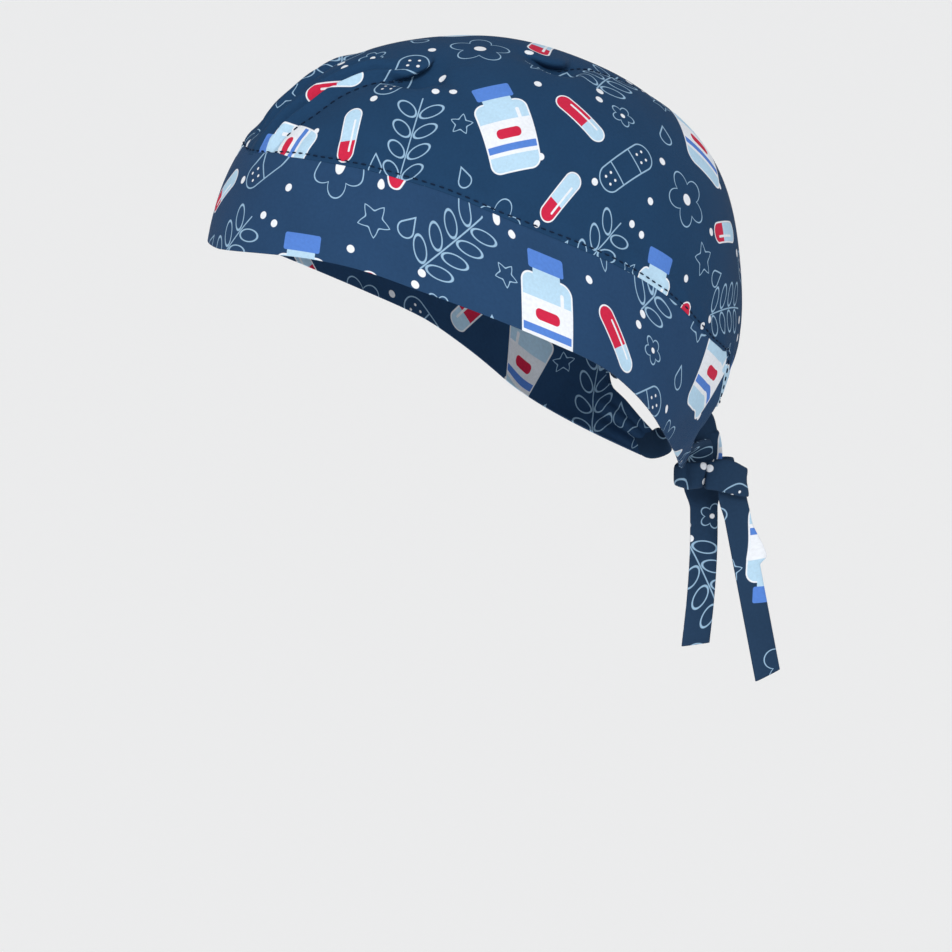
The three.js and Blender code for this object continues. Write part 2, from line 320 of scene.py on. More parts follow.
def makePrint(layout):
    group = bpy.data.node_groups.new("scatteredPrint", "ShaderNodeTree")
    group.interface.new_socket("Cloth", in_out="INPUT", socket_type="NodeSocketVector")
    group.interface.new_socket("Ground", in_out="INPUT", socket_type="NodeSocketColor")
    group.interface.new_socket("Colour", in_out="OUTPUT", socket_type="NodeSocketColor")
    entry = group.nodes.new("NodeGroupInput")
    leave = group.nodes.new("NodeGroupOutput")
    split = addNode(group, "SeparateXYZ", {0: entry.outputs[0]})
    repeat = layout["repeat"]
    across = Field(group, split.outputs[0]) * (1 / (repeat * mm))
    along = Field(group, split.outputs[1]) * (1 / (repeat * mm))
    column = across.math("FLOOR")
    dropped = along + column * 0.5
    x = (across.math("FRACT") - 0.5) * repeat
    y = (dropped.math("FRACT") - 0.5) * repeat
    colour = entry.outputs[1]

    def paint(ink, shape):
        nonlocal colour
        cover = shape.math("MULTIPLY_ADD", -1 / layout["edge"], 0.5, clamp=True)
        blend = addNode(group, "Mix", {"Factor": cover.socket, 6: colour, 7: inks[ink]}, data_type="RGBA")
        colour = blend.outputs[2]

    def spot(px, py, degrees=0):
        return (x - px).turned(y - py, degrees)

    def drawn(shape):
        paint("line", abs(shape) - layout["line"])

    def dot(px, py):
        bx, by = spot(px, py)
        paint("white", bx.reach(by) - layout["dotRadius"])

    def bottle(px, py, degrees, size):
        bx, by = spot(px, py, degrees)
        bx, by = bx * (1 / size), by * (1 / size)
        for ink, across, up, halfWide, halfTall, corner in layout["bottleBoxes"]:
            paint(ink, roundBox(bx - across, by - up, halfWide, halfTall, corner))

    def capsule(px, py, degrees, lower, upper):
        bx, by = spot(px, py, degrees)
        whole = roundBox(bx, by, 3.1, 10.5, 3.1)
        paint("white", whole - 0.5)
        paint(lower, whole)
        paint(upper, whole.most(-by - 2.5))
        paint("white", roundBox(bx - 1.3, by + 0.6, 0.4, 6.5, 0.4))

    def plaster(px, py, degrees):
        bx, by = spot(px, py, degrees)
        whole = roundBox(bx, by, 4.8, 14, 4.6)
        drawn(whole)
        paint("line", (abs(abs(by) - 5.2) - layout["line"]).most(whole))
        paint("white", (abs(bx) - 1.6).reach(abs(abs(by) - 9.2) - 1.4) - 0.5)

    def daisy(px, py, size):
        bx, by = spot(px, py)
        angle = by.math("ARCTAN2", bx)
        wave = (angle * 2.5).math("COSINE")
        edge = (abs(wave) * 0.42 + 0.58) * size
        drawn(bx.reach(by) - edge)
        paint("white", bx.reach(by) - size * 0.2)

    def sprig(px, py, degrees):
        bx, by = spot(px, py, degrees)
        paint("line", roundBox(bx, by, layout["line"], 17, layout["line"]))
        step = (by * (1 / 8.0)).math("FRACT")
        leafY = (step - 0.5) * 8.0
        lx, ly = (abs(bx) - 4.6).turned(leafY, 38)
        leaf = (lx * 0.55).reach(ly * 1.15) - 2.5
        drawn(leaf.most(abs(by) - 16))

    def star(px, py, size):
        bx, by = spot(px, py)
        angle = by.math("ARCTAN2", bx)
        wave = (angle * 2.5).math("SINE")
        edge = (abs(wave) * -0.46 + 1) * size
        drawn(bx.reach(by) - edge)

    def drop(px, py, degrees, size):
        bx, by = spot(px, py, degrees)
        lean = math.radians(28)
        point = abs(bx) * math.cos(lean) + by * math.sin(lean) - size
        point = point.most(-by + size * math.sin(lean))
        drawn((bx.reach(by) - size).least(point))

    motifs = {"dots": dot, "daisies": daisy, "sprigs": sprig, "stars": star, "drops": drop,
              "plasters": plaster, "capsules": capsule, "bottles": bottle}
    for name, draw in motifs.items():  # later motifs cover earlier ones
        for row in layout[name]:
            draw(*row)
    group.links.new(colour, leave.inputs[0])
    return group


printGroup = makePrint(printLayout)
print("print mixed,", len(printGroup.nodes), "nodes")

weave = {
    "thread": 0.42,  # width of two threads in millimetres
    "rise": 0.07, "bump": 0.6,  # relief in millimetres, and its strength
    "slub": (900.0, 3), "slubRise": 1.4,  # fine unevenness of the threads, by scale and detail
    "cloud": (55.0, 2),  # broad unevenness of the dye, by scale and detail
    "even": 0.76, "slubShade": 0.26, "cloudShade": 0.22, "threadShade": 0.03,
    "reverse": (0.055, 0.095, 0.16, 1),  # colour that the print fades to on the reverse
}
clothFinish = {
    "Specular IOR Level": 0.1,
    "Sheen Weight": 0.015,
    "Sheen Roughness": 0.35,
    "Sheen Tint": (0.75, 0.84, 1, 1),
}


def newMaterial(name):
    material = bpy.data.materials.new(name)
    material.use_nodes = True
    return material, material.node_tree, material.node_tree.nodes["Principled BSDF"]


def makeCloth(name, ground, reverse=0.0, shift=(0, 0), turn=0.0, roughness=0.82):
    material, tree, shader = newMaterial(name)
    uv = addNode(tree, "UVMap", {}, uv_map="cloth").outputs[0]
    moved = (shift[0] * mm, shift[1] * mm, 0)
    turned = (0, 0, math.radians(turn))
    place = addNode(tree, "Mapping", {"Vector": uv, "Location": moved, "Rotation": turned})
    ink = addNode(tree, "Group", {0: place.outputs[0], 1: inks[ground]}, node_tree=printGroup)
    colour = ink.outputs[0]
    if reverse:
        fade = addNode(tree, "Mix", {"Factor": reverse, 6: colour, 7: weave["reverse"]}, data_type="RGBA")
        colour = fade.outputs[2]
    split = addNode(tree, "SeparateXYZ", {0: uv})
    cycles = 2 * math.pi / (weave["thread"] * mm)
    warp = (Field(tree, split.outputs[0]) * cycles).math("SINE")
    weft = (Field(tree, split.outputs[1]) * cycles).math("SINE")
    thread = warp * weft

    def uneven(scale, detail):
        grain = addNode(tree, "TexNoise", {"Scale": scale, "Detail": detail, "Vector": uv})
        return Field(tree, grain.outputs[0])

    slub = uneven(*weave["slub"])
    cloud = uneven(*weave["cloud"])
    shade = slub * weave["slubShade"] + cloud * weave["cloudShade"] + weave["even"]
    shade = shade + thread * weave["threadShade"]
    tint = addNode(tree, "Mix", {"Factor": 1, 6: colour, 7: shade.socket},
                   data_type="RGBA", blend_type="MULTIPLY")
    height = thread + slub * weave["slubRise"]
    relief = {"Distance": weave["rise"] * mm, "Strength": weave["bump"], "Height": height.socket}
    bump = addNode(tree, "Bump", relief)
    feed(tree, shader, {"Base Color": tint.outputs[2], "Normal": bump.outputs[0], "Roughness": roughness})
    feed(tree, shader, clothFinish)
    return material


threadTwist = {"scale": 1800.0, "dark": (0.003, 0.009, 0.024, 1), "light": (0.007, 0.023, 0.062, 1)}
threadFinish = {"Roughness": 0.75, "Specular IOR Level": 0.1}


def makeThread(name):
    material, tree, shader = newMaterial(name)
    place = addNode(tree, "TexCoord", {})
    twist = addNode(tree, "TexNoise", {"Scale": threadTwist["scale"], "Vector": place.outputs["Object"]})
    ramp = addNode(tree, "ValToRGB", {0: twist.outputs[0]})
    for element, shade in zip(ramp.color_ramp.elements, ("dark", "light")):
        element.color = threadTwist[shade]
    feed(tree, shader, {"Base Color": ramp.outputs[0], **threadFinish})
    return material


# each piece's ground carries painted light: painted shade on the crown and the ties, and a painted sheen on
# the band
crownPrint = makeCloth("crownPrint", "crownGroundPaintedShade", shift=(145, -78))
crownReverse = makeCloth("crownReverse", "crownGroundPaintedShade", reverse=0.72, shift=(145, -78), roughness=0.88)
bandPrint = makeCloth("bandPrint", "bandGroundPaintedSheen", shift=(34, 8), turn=14)
tiePrint = makeCloth("tiePrint", "tieGroundPaintedShade", shift=(-2, 81))
threadNavy = makeThread("threadNavy")
print("materials made")

crownCloth = {  # millimetres, and degrees round or over where it says so
    "wall": 0.9, "along": 176, "down": 56, "across": 44,
    "grade": 0.62,  # how much closer the rows stand at the edges
    "weld": 0.02, "rounding": 0.3, "roundSteps": 2,
    "dartWidth": 8.0, "dartEnds": (71, 105), "dartFade": 6,  # degrees over where the stitched darts end
    "foldDepth": 0.7, "foldWidth": 1.5,  # sharp valley along a stitched dart
    "pleatStart": (36, 47), "pleatEnd": (64, 72),  # degrees over where the pleats come and go
    "allowanceRise": 0.45, "allowance": (6.0, 10.5),  # seam allowance under the edge, and where it fades
    "stitchUp": 1.8, "hemUp": 6.0, "stitchPit": 0.3, "pitWidth": 0.9,
    "edgeRoll": 0.25, "rollWidth": 0.5,
    "pucker": 0.3, "puckerPitch": 8.0,  # ripple along the stitched edge, every so many degrees
    "puckerSway": 2, "puckerDrift": 0.11,  # how its pitch wanders
    "puckerUp": 5, "puckerWidth": 3.5,
    "seamEnd": 147, "seamFade": 3,  # degrees round, beyond which the edge is a free hem
    "backIn": 2.8, "backFrom": (143, 154),  # the back is pulled in, from these degrees round on
    "backTop": 0.0, "backDrop": 24,  # and from this height down
    "drift": 0.45, "driftScale": 0.03, "driftUp": 12,  # slow unevenness of the stretched cloth
}


def graded(share, amount):
    return share - amount * math.sin(2 * math.pi * share) / (2 * math.pi)


dartPockets = [  # degrees over, off the dart line, size along and across, depth
    (71.7, 5.0, 9.5, 5.5, 4.8),
    (75.4, 14.0, 5.5, 5.5, 2.0),
    (104.5, 5.0, 9.5, 5.5, 4.4),
]
dartLips = [  # degrees over, size along, overhang, how far the pocket goes in under it
    (71.7, 9.0, 7.5, 5.5),
    (104.5, 9.0, 6.5, 5.0),
]
lipForm = {"rise": 1.2, "off": 4.5, "width": 3, "turn": 4, "reach": 18}
pleats = [  # off the dart line, width, rise
    (-4.4, 1.4, 1.7),
    (-7.4, 1.5, -1.9),
    (-11.0, 1.8, 1.7),
    (-14.8, 2.0, -1.4),
]


def offDartLine(over, aside):  # millimetres outwards from the nearer dart's line
    return (abs(aside) - dartAside(over)) * eggForm["half"][0]


def overDegrees(over, middle):  # millimetres along the crown
    return (over - middle) * math.radians(1) * eggForm["half"][1]


def lipSlide(over, aside):  # folds the cloth over itself at the end of a dart
    offDart = offDartLine(over, aside)
    slide = 0
    turn, reach = lipForm["turn"], lipForm["reach"]
    for middle, long, hang, under in dartLips:
        above = hang * ease(-reach, -turn, offDart)
        below = -under * (1 - ease(turn, reach, offDart))
        fade = math.exp(-(overDegrees(over, middle) / long) ** 4)
        slide += mix(above, below, ease(-turn, turn, offDart)) * fade
    return slide


def hemShare(around):  # 0 along the sewn edge, 1 along the free hem
    end, fade = crownCloth["seamEnd"], crownCloth["seamFade"]
    return ease(end - fade, end + fade, abs(around))


def crownRelief(over, aside, upEdge, around):
    # distance outwards of a crown point, from how far it lies above the edge
    offDart = offDartLine(over, aside)
    rise = -readLine(dartDepthLine, over) * math.exp(-(offDart / crownCloth["dartWidth"]) ** 2)
    front, back = crownCloth["dartEnds"]
    fade = crownCloth["dartFade"]
    sewn = 1 - ease(front - fade, front, over) * (1 - ease(back, back + fade, over))
    rise -= sewn * crownCloth["foldDepth"] * math.exp(-abs(offDart) / crownCloth["foldWidth"])
    for middle, off, long, wide, depth in dartPockets:
        along = overDegrees(over, middle)
        rise -= depth * math.exp(-(along / long) ** 2 - ((offDart - off) / wide) ** 2)
    for middle, long, *_ in dartLips:
        along = overDegrees(over, middle)
        across = (offDart + lipForm["off"]) / lipForm["width"]
        rise += lipForm["rise"] * math.exp(-(along / long) ** 4 - across ** 2)
    pleated = ease(*crownCloth["pleatStart"], over) * (1 - ease(*crownCloth["pleatEnd"], over))
    for off, wide, high in pleats:
        rise += pleated * high * math.exp(-((offDart - off) / wide) ** 2)
    hem = hemShare(around)
    rise += crownCloth["allowanceRise"] * (1 - ease(*crownCloth["allowance"], upEdge))
    row = mix(crownCloth["stitchUp"], crownCloth["hemUp"], hem)
    rise -= crownCloth["stitchPit"] * math.exp(-((upEdge - row) / crownCloth["pitWidth"]) ** 2)
    wander = crownCloth["puckerSway"] * math.sin(around * crownCloth["puckerDrift"])
    ripple = math.sin(around / crownCloth["puckerPitch"] * 2 * math.pi + wander)
    puckerUp = (upEdge - crownCloth["puckerUp"]) / crownCloth["puckerWidth"]
    rise += crownCloth["pucker"] * (1 - hem) * ripple * math.exp(-puckerUp ** 2)
    rise -= crownCloth["edgeRoll"] * math.exp(-(upEdge / crownCloth["rollWidth"]) ** 2)
    return rise


def backDip(height, around):  # how far the cloth low at the back is pulled in
    low = ease(0, crownCloth["backDrop"], crownCloth["backTop"] - height)
    return crownCloth["backIn"] * ease(*crownCloth["backFrom"], abs(around)) * low


def crownSpot(over, aside, upEdge):
    slide = lipSlide(over, aside) / eggForm["half"][0]
    way = crownWay(over, aside + math.copysign(slide, aside))
    point = eggPoint(way)
    around = aroundAt(over, aside)
    rise = crownRelief(over, aside, upEdge, around) - backDip(point.z, around)
    drift = Vector([value * crownCloth["driftScale"] for value in point])
    rise += crownCloth["drift"] * noise.noise(drift) * ease(0, crownCloth["driftUp"], upEdge)
    return point + way * rise


class CrownPanels:  # remembers where each column of the crown's panels starts and ends
    def __init__(self):
        self.first, self.last = self.stripEnds(1)
        self.firstAround = aroundAt(self.first, dartAside(self.first))
        self.lastAround = aroundAt(self.last, dartAside(self.last))
        self.columns = {}
        self.strips = {}

    def stripEnds(self, share):  # degrees over at the front and the back edge
        def value(over):
            return aboveEdge(over, share * dartAside(over))
        return findCrossing(0, 90, value), findCrossing(270, 90, value)

    def strip(self, share, along):
        key = round(share, 6)
        if key not in self.strips:
            self.strips[key] = self.stripEnds(share)
        front, back = self.strips[key]
        over = mix(front, back, along)
        upEdge = overDegrees(min(over - front, back - over), 0)
        upEdge = mix(upEdge, self.column(along)[2], abs(share))  # meets the side panels along the darts
        return crownSpot(over, share * dartAside(over), upEdge)

    def column(self, along):  # foot, top and length of a side panel's column
        key = round(along, 6)
        if key not in self.columns:
            topOver = mix(self.first, self.last, along)
            foot = edgeSpot(mix(self.firstAround, self.lastAround, along))
            top = (topOver, dartAside(topOver))
            length = 0
            before = None
            steps = 8
            for step in range(steps + 1):
                over, aside = mix(foot[0], top[0], step / steps), mix(foot[1], top[1], step / steps)
                here = eggPoint(crownWay(over, aside))
                if before:
                    length += (here - before).length
                before = here
            self.columns[key] = foot, top, length
        return self.columns[key]

    def side(self, along, up, hand):
        foot, top, length = self.column(along)
        over, aside = mix(foot[0], top[0], up), mix(foot[1], top[1], up)
        return crownSpot(over, hand * aside, up * length)


panels = CrownPanels()


def thicken(bm, wall, reverse, rounding, segments):
    # gives an open sheet its wall inwards, its reverse face and a rounded rim
    count = len(bm.faces)
    uv = bm.loops.layers.uv["cloth"]
    bm.normal_update()
    inner = {vert: vert.co - vert.normal * wall * mm for vert in bm.verts}
    bmesh.ops.solidify(bm, geom=bm.faces[:], thickness=wall * mm)
    bm.faces.ensure_lookup_table()
    for front, behind in zip(bm.faces[:count], bm.faces[count:2 * count]):
        behind.material_index = reverse
        for loop in behind.loops:  # the same flat place marks the same corner of the sheet
            pair = min(front.loops, key=lambda other: (other[uv].uv - loop[uv].uv).length_squared)
            loop.vert.co = inner[pair.vert]
    rim = set(bm.faces[2 * count:])
    edges = [edge for edge in bm.edges if sum(face in rim for face in edge.link_faces) == 1]
    bmesh.ops.bevel(bm, geom=edges, affect="EDGES", offset=rounding * mm, segments=segments, profile=0.5,
                    material=-1, clamp_overlap=True)


def layFlat(piece, marks):
    # unfolds a piece with least stretch, at true scale, from its top, its way from front to back along u
    bpy.context.view_layer.objects.active = piece
    piece.select_set(True)
    bpy.ops.object.mode_set(mode="EDIT")
    bpy.ops.mesh.select_all(action="SELECT")
    bpy.ops.uv.unwrap(method="MINIMUM_STRETCH", iterations=6, margin=0)
    bpy.ops.object.mode_set(mode="OBJECT")
    mesh = piece.data
    bm = bmesh.new()
    bm.from_mesh(mesh)
    uv = bm.loops.layers.uv["cloth"]
    real = sum(face.calc_area() for face in bm.faces)
    flat = 0
    nearest = {}
    for face in bm.faces:
        corners = [loop[uv].uv for loop in face.loops]
        flat += abs(sum(a.cross(b) for a, b in zip(corners, corners[1:] + corners[:1]))) / 2
        for loop in face.loops:
            for name, spot in marks.items():
                far = (loop.vert.co - spot).length
                if name not in nearest or far < nearest[name][0]:
                    nearest[name] = far, loop[uv].uv.copy()
    scale = math.sqrt(real / flat)
    lie = nearest["back"][1] - nearest["front"][1]
    turn = Matrix.Rotation(-math.atan2(lie.y, lie.x), 2)
    for face in bm.faces:
        for loop in face.loops:
            loop[uv].uv = turn @ ((loop[uv].uv - nearest["top"][1]) * scale)
    bm.to_mesh(mesh)
    bm.free()
    return real


def makeCrown():
    bm = bmesh.new()
    bm.loops.layers.uv.new("cloth")
    dart = bm.verts.layers.int.new("dart")
    steps, down, across = crownCloth["along"], crownCloth["down"], crownCloth["across"]
    grade = crownCloth["grade"]
    front, back = crownCloth["dartEnds"]
    close = 1e-4

    def onDart(vert, share, edge):
        over = mix(panels.first, panels.last, share)
        vert[dart] = 1 if edge and not front < over < back else 0

    def markStrip(vert, a, b):
        onDart(vert, b, a < close or a > 1 - close)

    def markSide(vert, a, b):
        onDart(vert, a, b > 1 - close)

    clothGrid(bm, across, steps, lambda a, b: panels.strip(2 * graded(a, grade) - 1, b), markStrip)
    clothGrid(bm, steps, down, lambda a, b: panels.side(a, graded(b, grade), 1), markSide)
    clothGrid(bm, steps, down, lambda a, b: panels.side(1 - a, graded(b, grade), -1),
              lambda vert, a, b: markSide(vert, 1 - a, b))
    bmesh.ops.remove_doubles(bm, verts=bm.verts, dist=crownCloth["weld"] * mm)
    bmesh.ops.recalc_face_normals(bm, faces=bm.faces)
    for edge in bm.edges:
        if all(vert[dart] for vert in edge.verts) and len(edge.link_faces) == 2:
            edge.seam = True
    return bm


crown = pieceFrom(makeCrown(), "crown_cloth", [crownPrint, crownReverse])
print("crown laid out,", len(crown.data.vertices), "vertices")
markShares = {"front": 0, "top": 0.5, "back": 1}  # along the crown's middle line
crownMarks = {name: panels.strip(0, along) * mm for name, along in markShares.items()}
crownArea = layFlat(crown, crownMarks)


def finishSheet(piece, cloth, reverse):
    bm = bmesh.new()
    bm.from_mesh(piece.data)
    thicken(bm, cloth["wall"], reverse, cloth["rounding"], cloth["roundSteps"])
    bm.to_mesh(piece.data)
    bm.free()
    piece.data.shade_smooth()


finishSheet(crown, crownCloth, 1)
print("crown thick")

# the knot at the back and the strap that is tied there, in millimetres
strapForm = {
    "width": 10.0, "thick": 1.6,
    "knot": (0, 94, -51.3), "innerLayer": 1.2, "outerLayer": 3.5, "bend": 6.0,
    "bandEnd": (16, -18, 10),  # from the knot's middle
    "endWay": Vector((-0.78, 0.55, -0.3)).normalized(),
}
endLie = Vector((-0.2, 0.6, 0.78))
strapForm["endLie"] = (endLie - endLie.project(strapForm["endWay"])).normalized()

bandCloth = {  # millimetres, and shares or degrees round where it says so
    "wall": 1.3, "columns": 340, "rows": 36, "grade": 0.6, "rounding": 0.55, "roundSteps": 3,
    "straightFrom": 117.0, "seamEnd": 141.0,  # degrees round where it leaves the form, where its seam ends
    "sewnShare": 0.4,  # share of each pulled end that is still sewn
    "pullLead": 18.0,
    "endFoot": (143.5, -20.5),  # degrees round and height at the foot of its sewn end
    "wrappedShare": 0.73,  # share of the band's half length that lies on the form
    "unsewn": (0.58, 0.68), "loose": (0.55, 0.85), "tied": (0.9, 1),  # shares of the rest where each sets in
    "tuck": 2.4, "tuckRun": 3, "tuckDepth": 1.8, "tuckWidth": 0.55,  # upper edge tucked under the crown's
    "fold": 1.6, "foldUp": (0.5, 0.66),  # the upper part of each end is folded back
    "gather": 0.5, "gatherWave": 17, "gatherStart": 1.3,
    "drift": 0.5, "driftScale": 0.035,
}


def curveThrough(spots, at):  # smooth curve through places, evenly shared among them
    last = len(spots) - 1
    place = min(max(at, 0), 1) * last
    i = min(int(place), last - 1)
    t = place - i
    p1, p2 = spots[i], spots[i + 1]
    p0 = spots[i - 1] if i > 0 else p1 * 2 - p2
    p3 = spots[i + 2] if i + 2 <= last else p2 * 2 - p1
    d0, d1, d2 = (max((b - a).length ** 0.5, 1e-3) for a, b in ((p0, p1), (p1, p2), (p2, p3)))
    leave = ((p1 - p0) / d0 - (p2 - p0) / (d0 + d1) + (p2 - p1) / d1) * d1
    arrive = ((p2 - p1) / d1 - (p3 - p1) / (d1 + d2) + (p3 - p2) / d2) * d1
    return (p1 + leave * t + (p2 * 3 - p1 * 3 - leave * 2 - arrive) * t ** 2
            + (p1 * 2 - p2 * 2 + leave + arrive) * t ** 3)


class BandLines:  # the band on the form, and its ends that are pulled off it to the ties
    def __init__(self):
        middle = Vector(strapForm["knot"]) + Vector(strapForm["bandEnd"])
        middle += strapForm["endWay"].cross(strapForm["endLie"]) * (strapForm["thick"] / 2)
        self.low = middle - strapForm["endLie"] * strapForm["width"] / 2
        self.high = middle + strapForm["endLie"] * strapForm["width"] / 2
        start = bandCloth["straightFrom"]
        self.lowStart = self.wrapped(start, 0)
        self.highStart = self.wrapped(start, 1)
        lead = (self.lowStart - self.wrapped(start - 1, 0)).normalized() * bandCloth["pullLead"]
        self.lowLead = self.lowStart + lead
        foot = eggPoint(wayAtHeight(*bandCloth["endFoot"]))
        self.endLine = [self.wrapped(bandCloth["seamEnd"], 1), foot, foot.lerp(self.high, 0.5), self.high]

    def wrapped(self, around, up):
        top = seamHeight(around) - seamGap / 2
        return eggPoint(wayAtHeight(around, mix(rimHeight(around), top, up)))

    def pulled(self, along, up):
        left = 1 - along
        low = self.lowStart * left ** 2 + self.lowLead * 2 * along * left + self.low * along ** 2
        share = bandCloth["sewnShare"]
        sewn = along / share
        if sewn < 1:
            high = self.wrapped(mix(bandCloth["straightFrom"], bandCloth["seamEnd"], sewn), 1)
        else:
            high = curveThrough(self.endLine, (along - share) / (1 - share))
        swell = self.wrapped(bandCloth["straightFrom"], up) - self.lowStart.lerp(self.highStart, up)
        return low.lerp(high, up) + swell * left

    def bare(self, along, up):  # along from -1 at the right tie to 1 at the left one
        far = abs(along)
        if far <= bandCloth["wrappedShare"]:
            return self.wrapped(bandCloth["straightFrom"] * along / bandCloth["wrappedShare"], up)
        point = self.pulled((far - bandCloth["wrappedShare"]) / (1 - bandCloth["wrappedShare"]), up)
        return point if along > 0 else Vector((-point.x, point.y, point.z))


bandLines = BandLines()


def bandRelief(along, up, below):
    # how far a band point is moved upwards and outwards, from its distance below the seam
    pulledOff = (abs(along) - bandCloth["wrappedShare"]) / (1 - bandCloth["wrappedShare"])
    sewn = 1 - ease(*bandCloth["unsewn"], pulledOff)
    tuck = bandCloth["tuck"] * sewn * (1 - ease(0, bandCloth["tuckRun"], below))
    outwards = -bandCloth["tuckDepth"] * sewn * (1 - ease(0, bandCloth["tuckWidth"], below))
    inside = math.sin(math.pi * up)
    loose = ease(*bandCloth["loose"], pulledOff) * (1 - ease(*bandCloth["tied"], pulledOff))
    outwards -= bandCloth["fold"] * ease(*bandCloth["foldUp"], up) * loose
    wave = math.sin(up * bandCloth["gatherWave"] + bandCloth["gatherStart"])
    outwards += bandCloth["gather"] * wave * loose * inside
    return tuck, outwards


def makeBand():
    columns, rows = bandCloth["columns"], bandCloth["rows"]
    ups = [graded(row / rows, bandCloth["grade"]) for row in range(rows + 1)]
    bare = [[bandLines.bare(2 * column / columns - 1, up) for up in ups] for column in range(columns + 1)]
    length = [0.0]
    for here, there in zip(bare, bare[1:]):
        length.append(length[-1] + (there[rows // 2] - here[rows // 2]).length)
    wide = [(line[-1] - line[0]).length for line in bare]

    def place(a, b):
        column, row = round(a * columns), round(b * rows)
        line = bare[column]
        point = line[row]
        lie = bare[min(column + 1, columns)][row] - bare[max(column - 1, 0)][row]
        upward = (line[min(row + 1, rows)] - line[max(row - 1, 0)]).normalized()
        outward = lie.cross(upward).normalized()
        tuck, outwards = bandRelief(2 * a - 1, ups[row], (1 - ups[row]) * wide[column])
        drift = noise.noise(point * bandCloth["driftScale"])
        outwards += bandCloth["drift"] * drift * math.sin(math.pi * ups[row])
        return point + upward * tuck + outward * outwards

    bm = bmesh.new()
    uv = bm.loops.layers.uv.new("cloth")

    def flatten(vert, a, b):
        column, row = round(a * columns), round(b * rows)
        flat = Vector((length[column], (ups[row] - 0.5) * wide[column])) * mm
        for loop in vert.link_loops:
            loop[uv].uv = flat

    clothGrid(bm, columns, rows, place, flatten)
    bmesh.ops.recalc_face_normals(bm, faces=bm.faces)
    return bm


band = pieceFrom(makeBand(), "band_cloth", [bandPrint])
finishSheet(band, bandCloth, 0)

tieRows = {  # places from the knot's middle; entry rows hold place, lie and width
    "left": {
        "hand": 1, "printAt": 59, "sway": 1.4, "flare": None, "turnWide": 0.0, "tailWide": 11.2,
        "enterBack": -4.5, "turnBack": 9.5, "dropBack": -1, "endBack": -3.5, "endUp": -64.1, "endSlant": 1.1,
        "entry": [(8, -12, 10.6, (0, 0.85, 0.55), 10), (3.6, -6.3, 10, (0, 1, 0.2), 10)],
    },
    "right": {
        "hand": -1, "printAt": -4, "sway": 0.0, "turnWide": 0.22, "tailWide": 10.6,
        "flare": (0.672, 0.757, 0.771, 3.4),  # shares along: start, widest, end; how wide
        "enterBack": 0.6, "turnBack": -13.5, "endBack": 22.8, "endUp": -76.5, "endSlant": -0.8,
        "entry": [(-9, -9, 15, (0.35, 0.85, 0.4), 13), (-3.4, -4.2, 20.4, (0.1, 1, 0.05), 12.6),
                  (0.4, -3.0, 13.6, (0, 1, -0.17), 12.6)],
    },
}
lobes = [  # where the right tie passes over the near side of the knot: place, lie, width, thickness
    ((4.9, -9.0, 0.2), (0, -0.15, -1), 9.8, 3.6),
    ((4.7, -6.4, 0.2), (0, -0.3, -1), 9.8, 3.2),
    ((3.3, -3.6, 0.1), (0, -0.34, -1), 9.2, 1.8),
    ((2.6, -1.4, 0.0), (0, -0.34, -1), 9.0, 1.3),
    ((3.5, 0.2, 0.0), (0, -0.34, -1), 9.0, 1.2),
    ((4.4, -1.4, 0.0), (0, -0.34, -1), 9.4, 1.2),
    ((5.4, -4.1, -0.1), (0, -0.34, -1), 9.8, 1.4),
    ((6.5, -2.2, -0.1), (0, -0.3, -1), 10.4, 1.8),
    ((7.0, 2.7, -0.4), (0, -0.12, -1), 12.0, 2.2),
    ((6.8, 8.0, -2.4), (0, 0.05, -1), 11.2, 2.0),
    ((5.8, 11.4, -3.7), (0, 0.15, -1), 10.4, 1.6),
    ((4.3, 11.6, -3.9), (0, 0.3, -1), 10.0, 1.5),
    ((3.5, 9.9, -3.8), (0, 0.75, -0.65), 10.0, 1.5),
    ((3.3, 7.6, -6.5), (0, 1, 0), 11.4, 1.5),
]
tieCloth = {
    "freeShares": (0.15, 0.4, 0.7, 1), "bendSteps": 3,
    "along": 320, "around": 32, "routeSteps": 1600, "probe": 0.001, "weld": 0.005,
    "tuckAt": 0.94, "tucked": (0.8, 0.5), "leaving": (0.94, 0.8),  # shares of width and thickness
    "turnPlump": 4,
    "dropDeep": 4.2, "dropWide": 16.0, "dropBack": 2.4,  # the left tail starts deep and bunched
    "edgeFull": 0.5, "faceFull": 0.7,  # roundness of the strap's edges and faces
    "slantFrom": 0.8,
}


def bendStations(start, leave, arrive, radius):  # places and ways round a quarter turn
    rows = []
    for step in range(tieCloth["bendSteps"] + 1):
        angle = step / tieCloth["bendSteps"] * math.pi / 2
        spot = start + leave * radius * math.sin(angle) + arrive * radius * (1 - math.cos(angle))
        rows.append((spot, leave * math.cos(angle) + arrive * math.sin(angle)))
    return rows


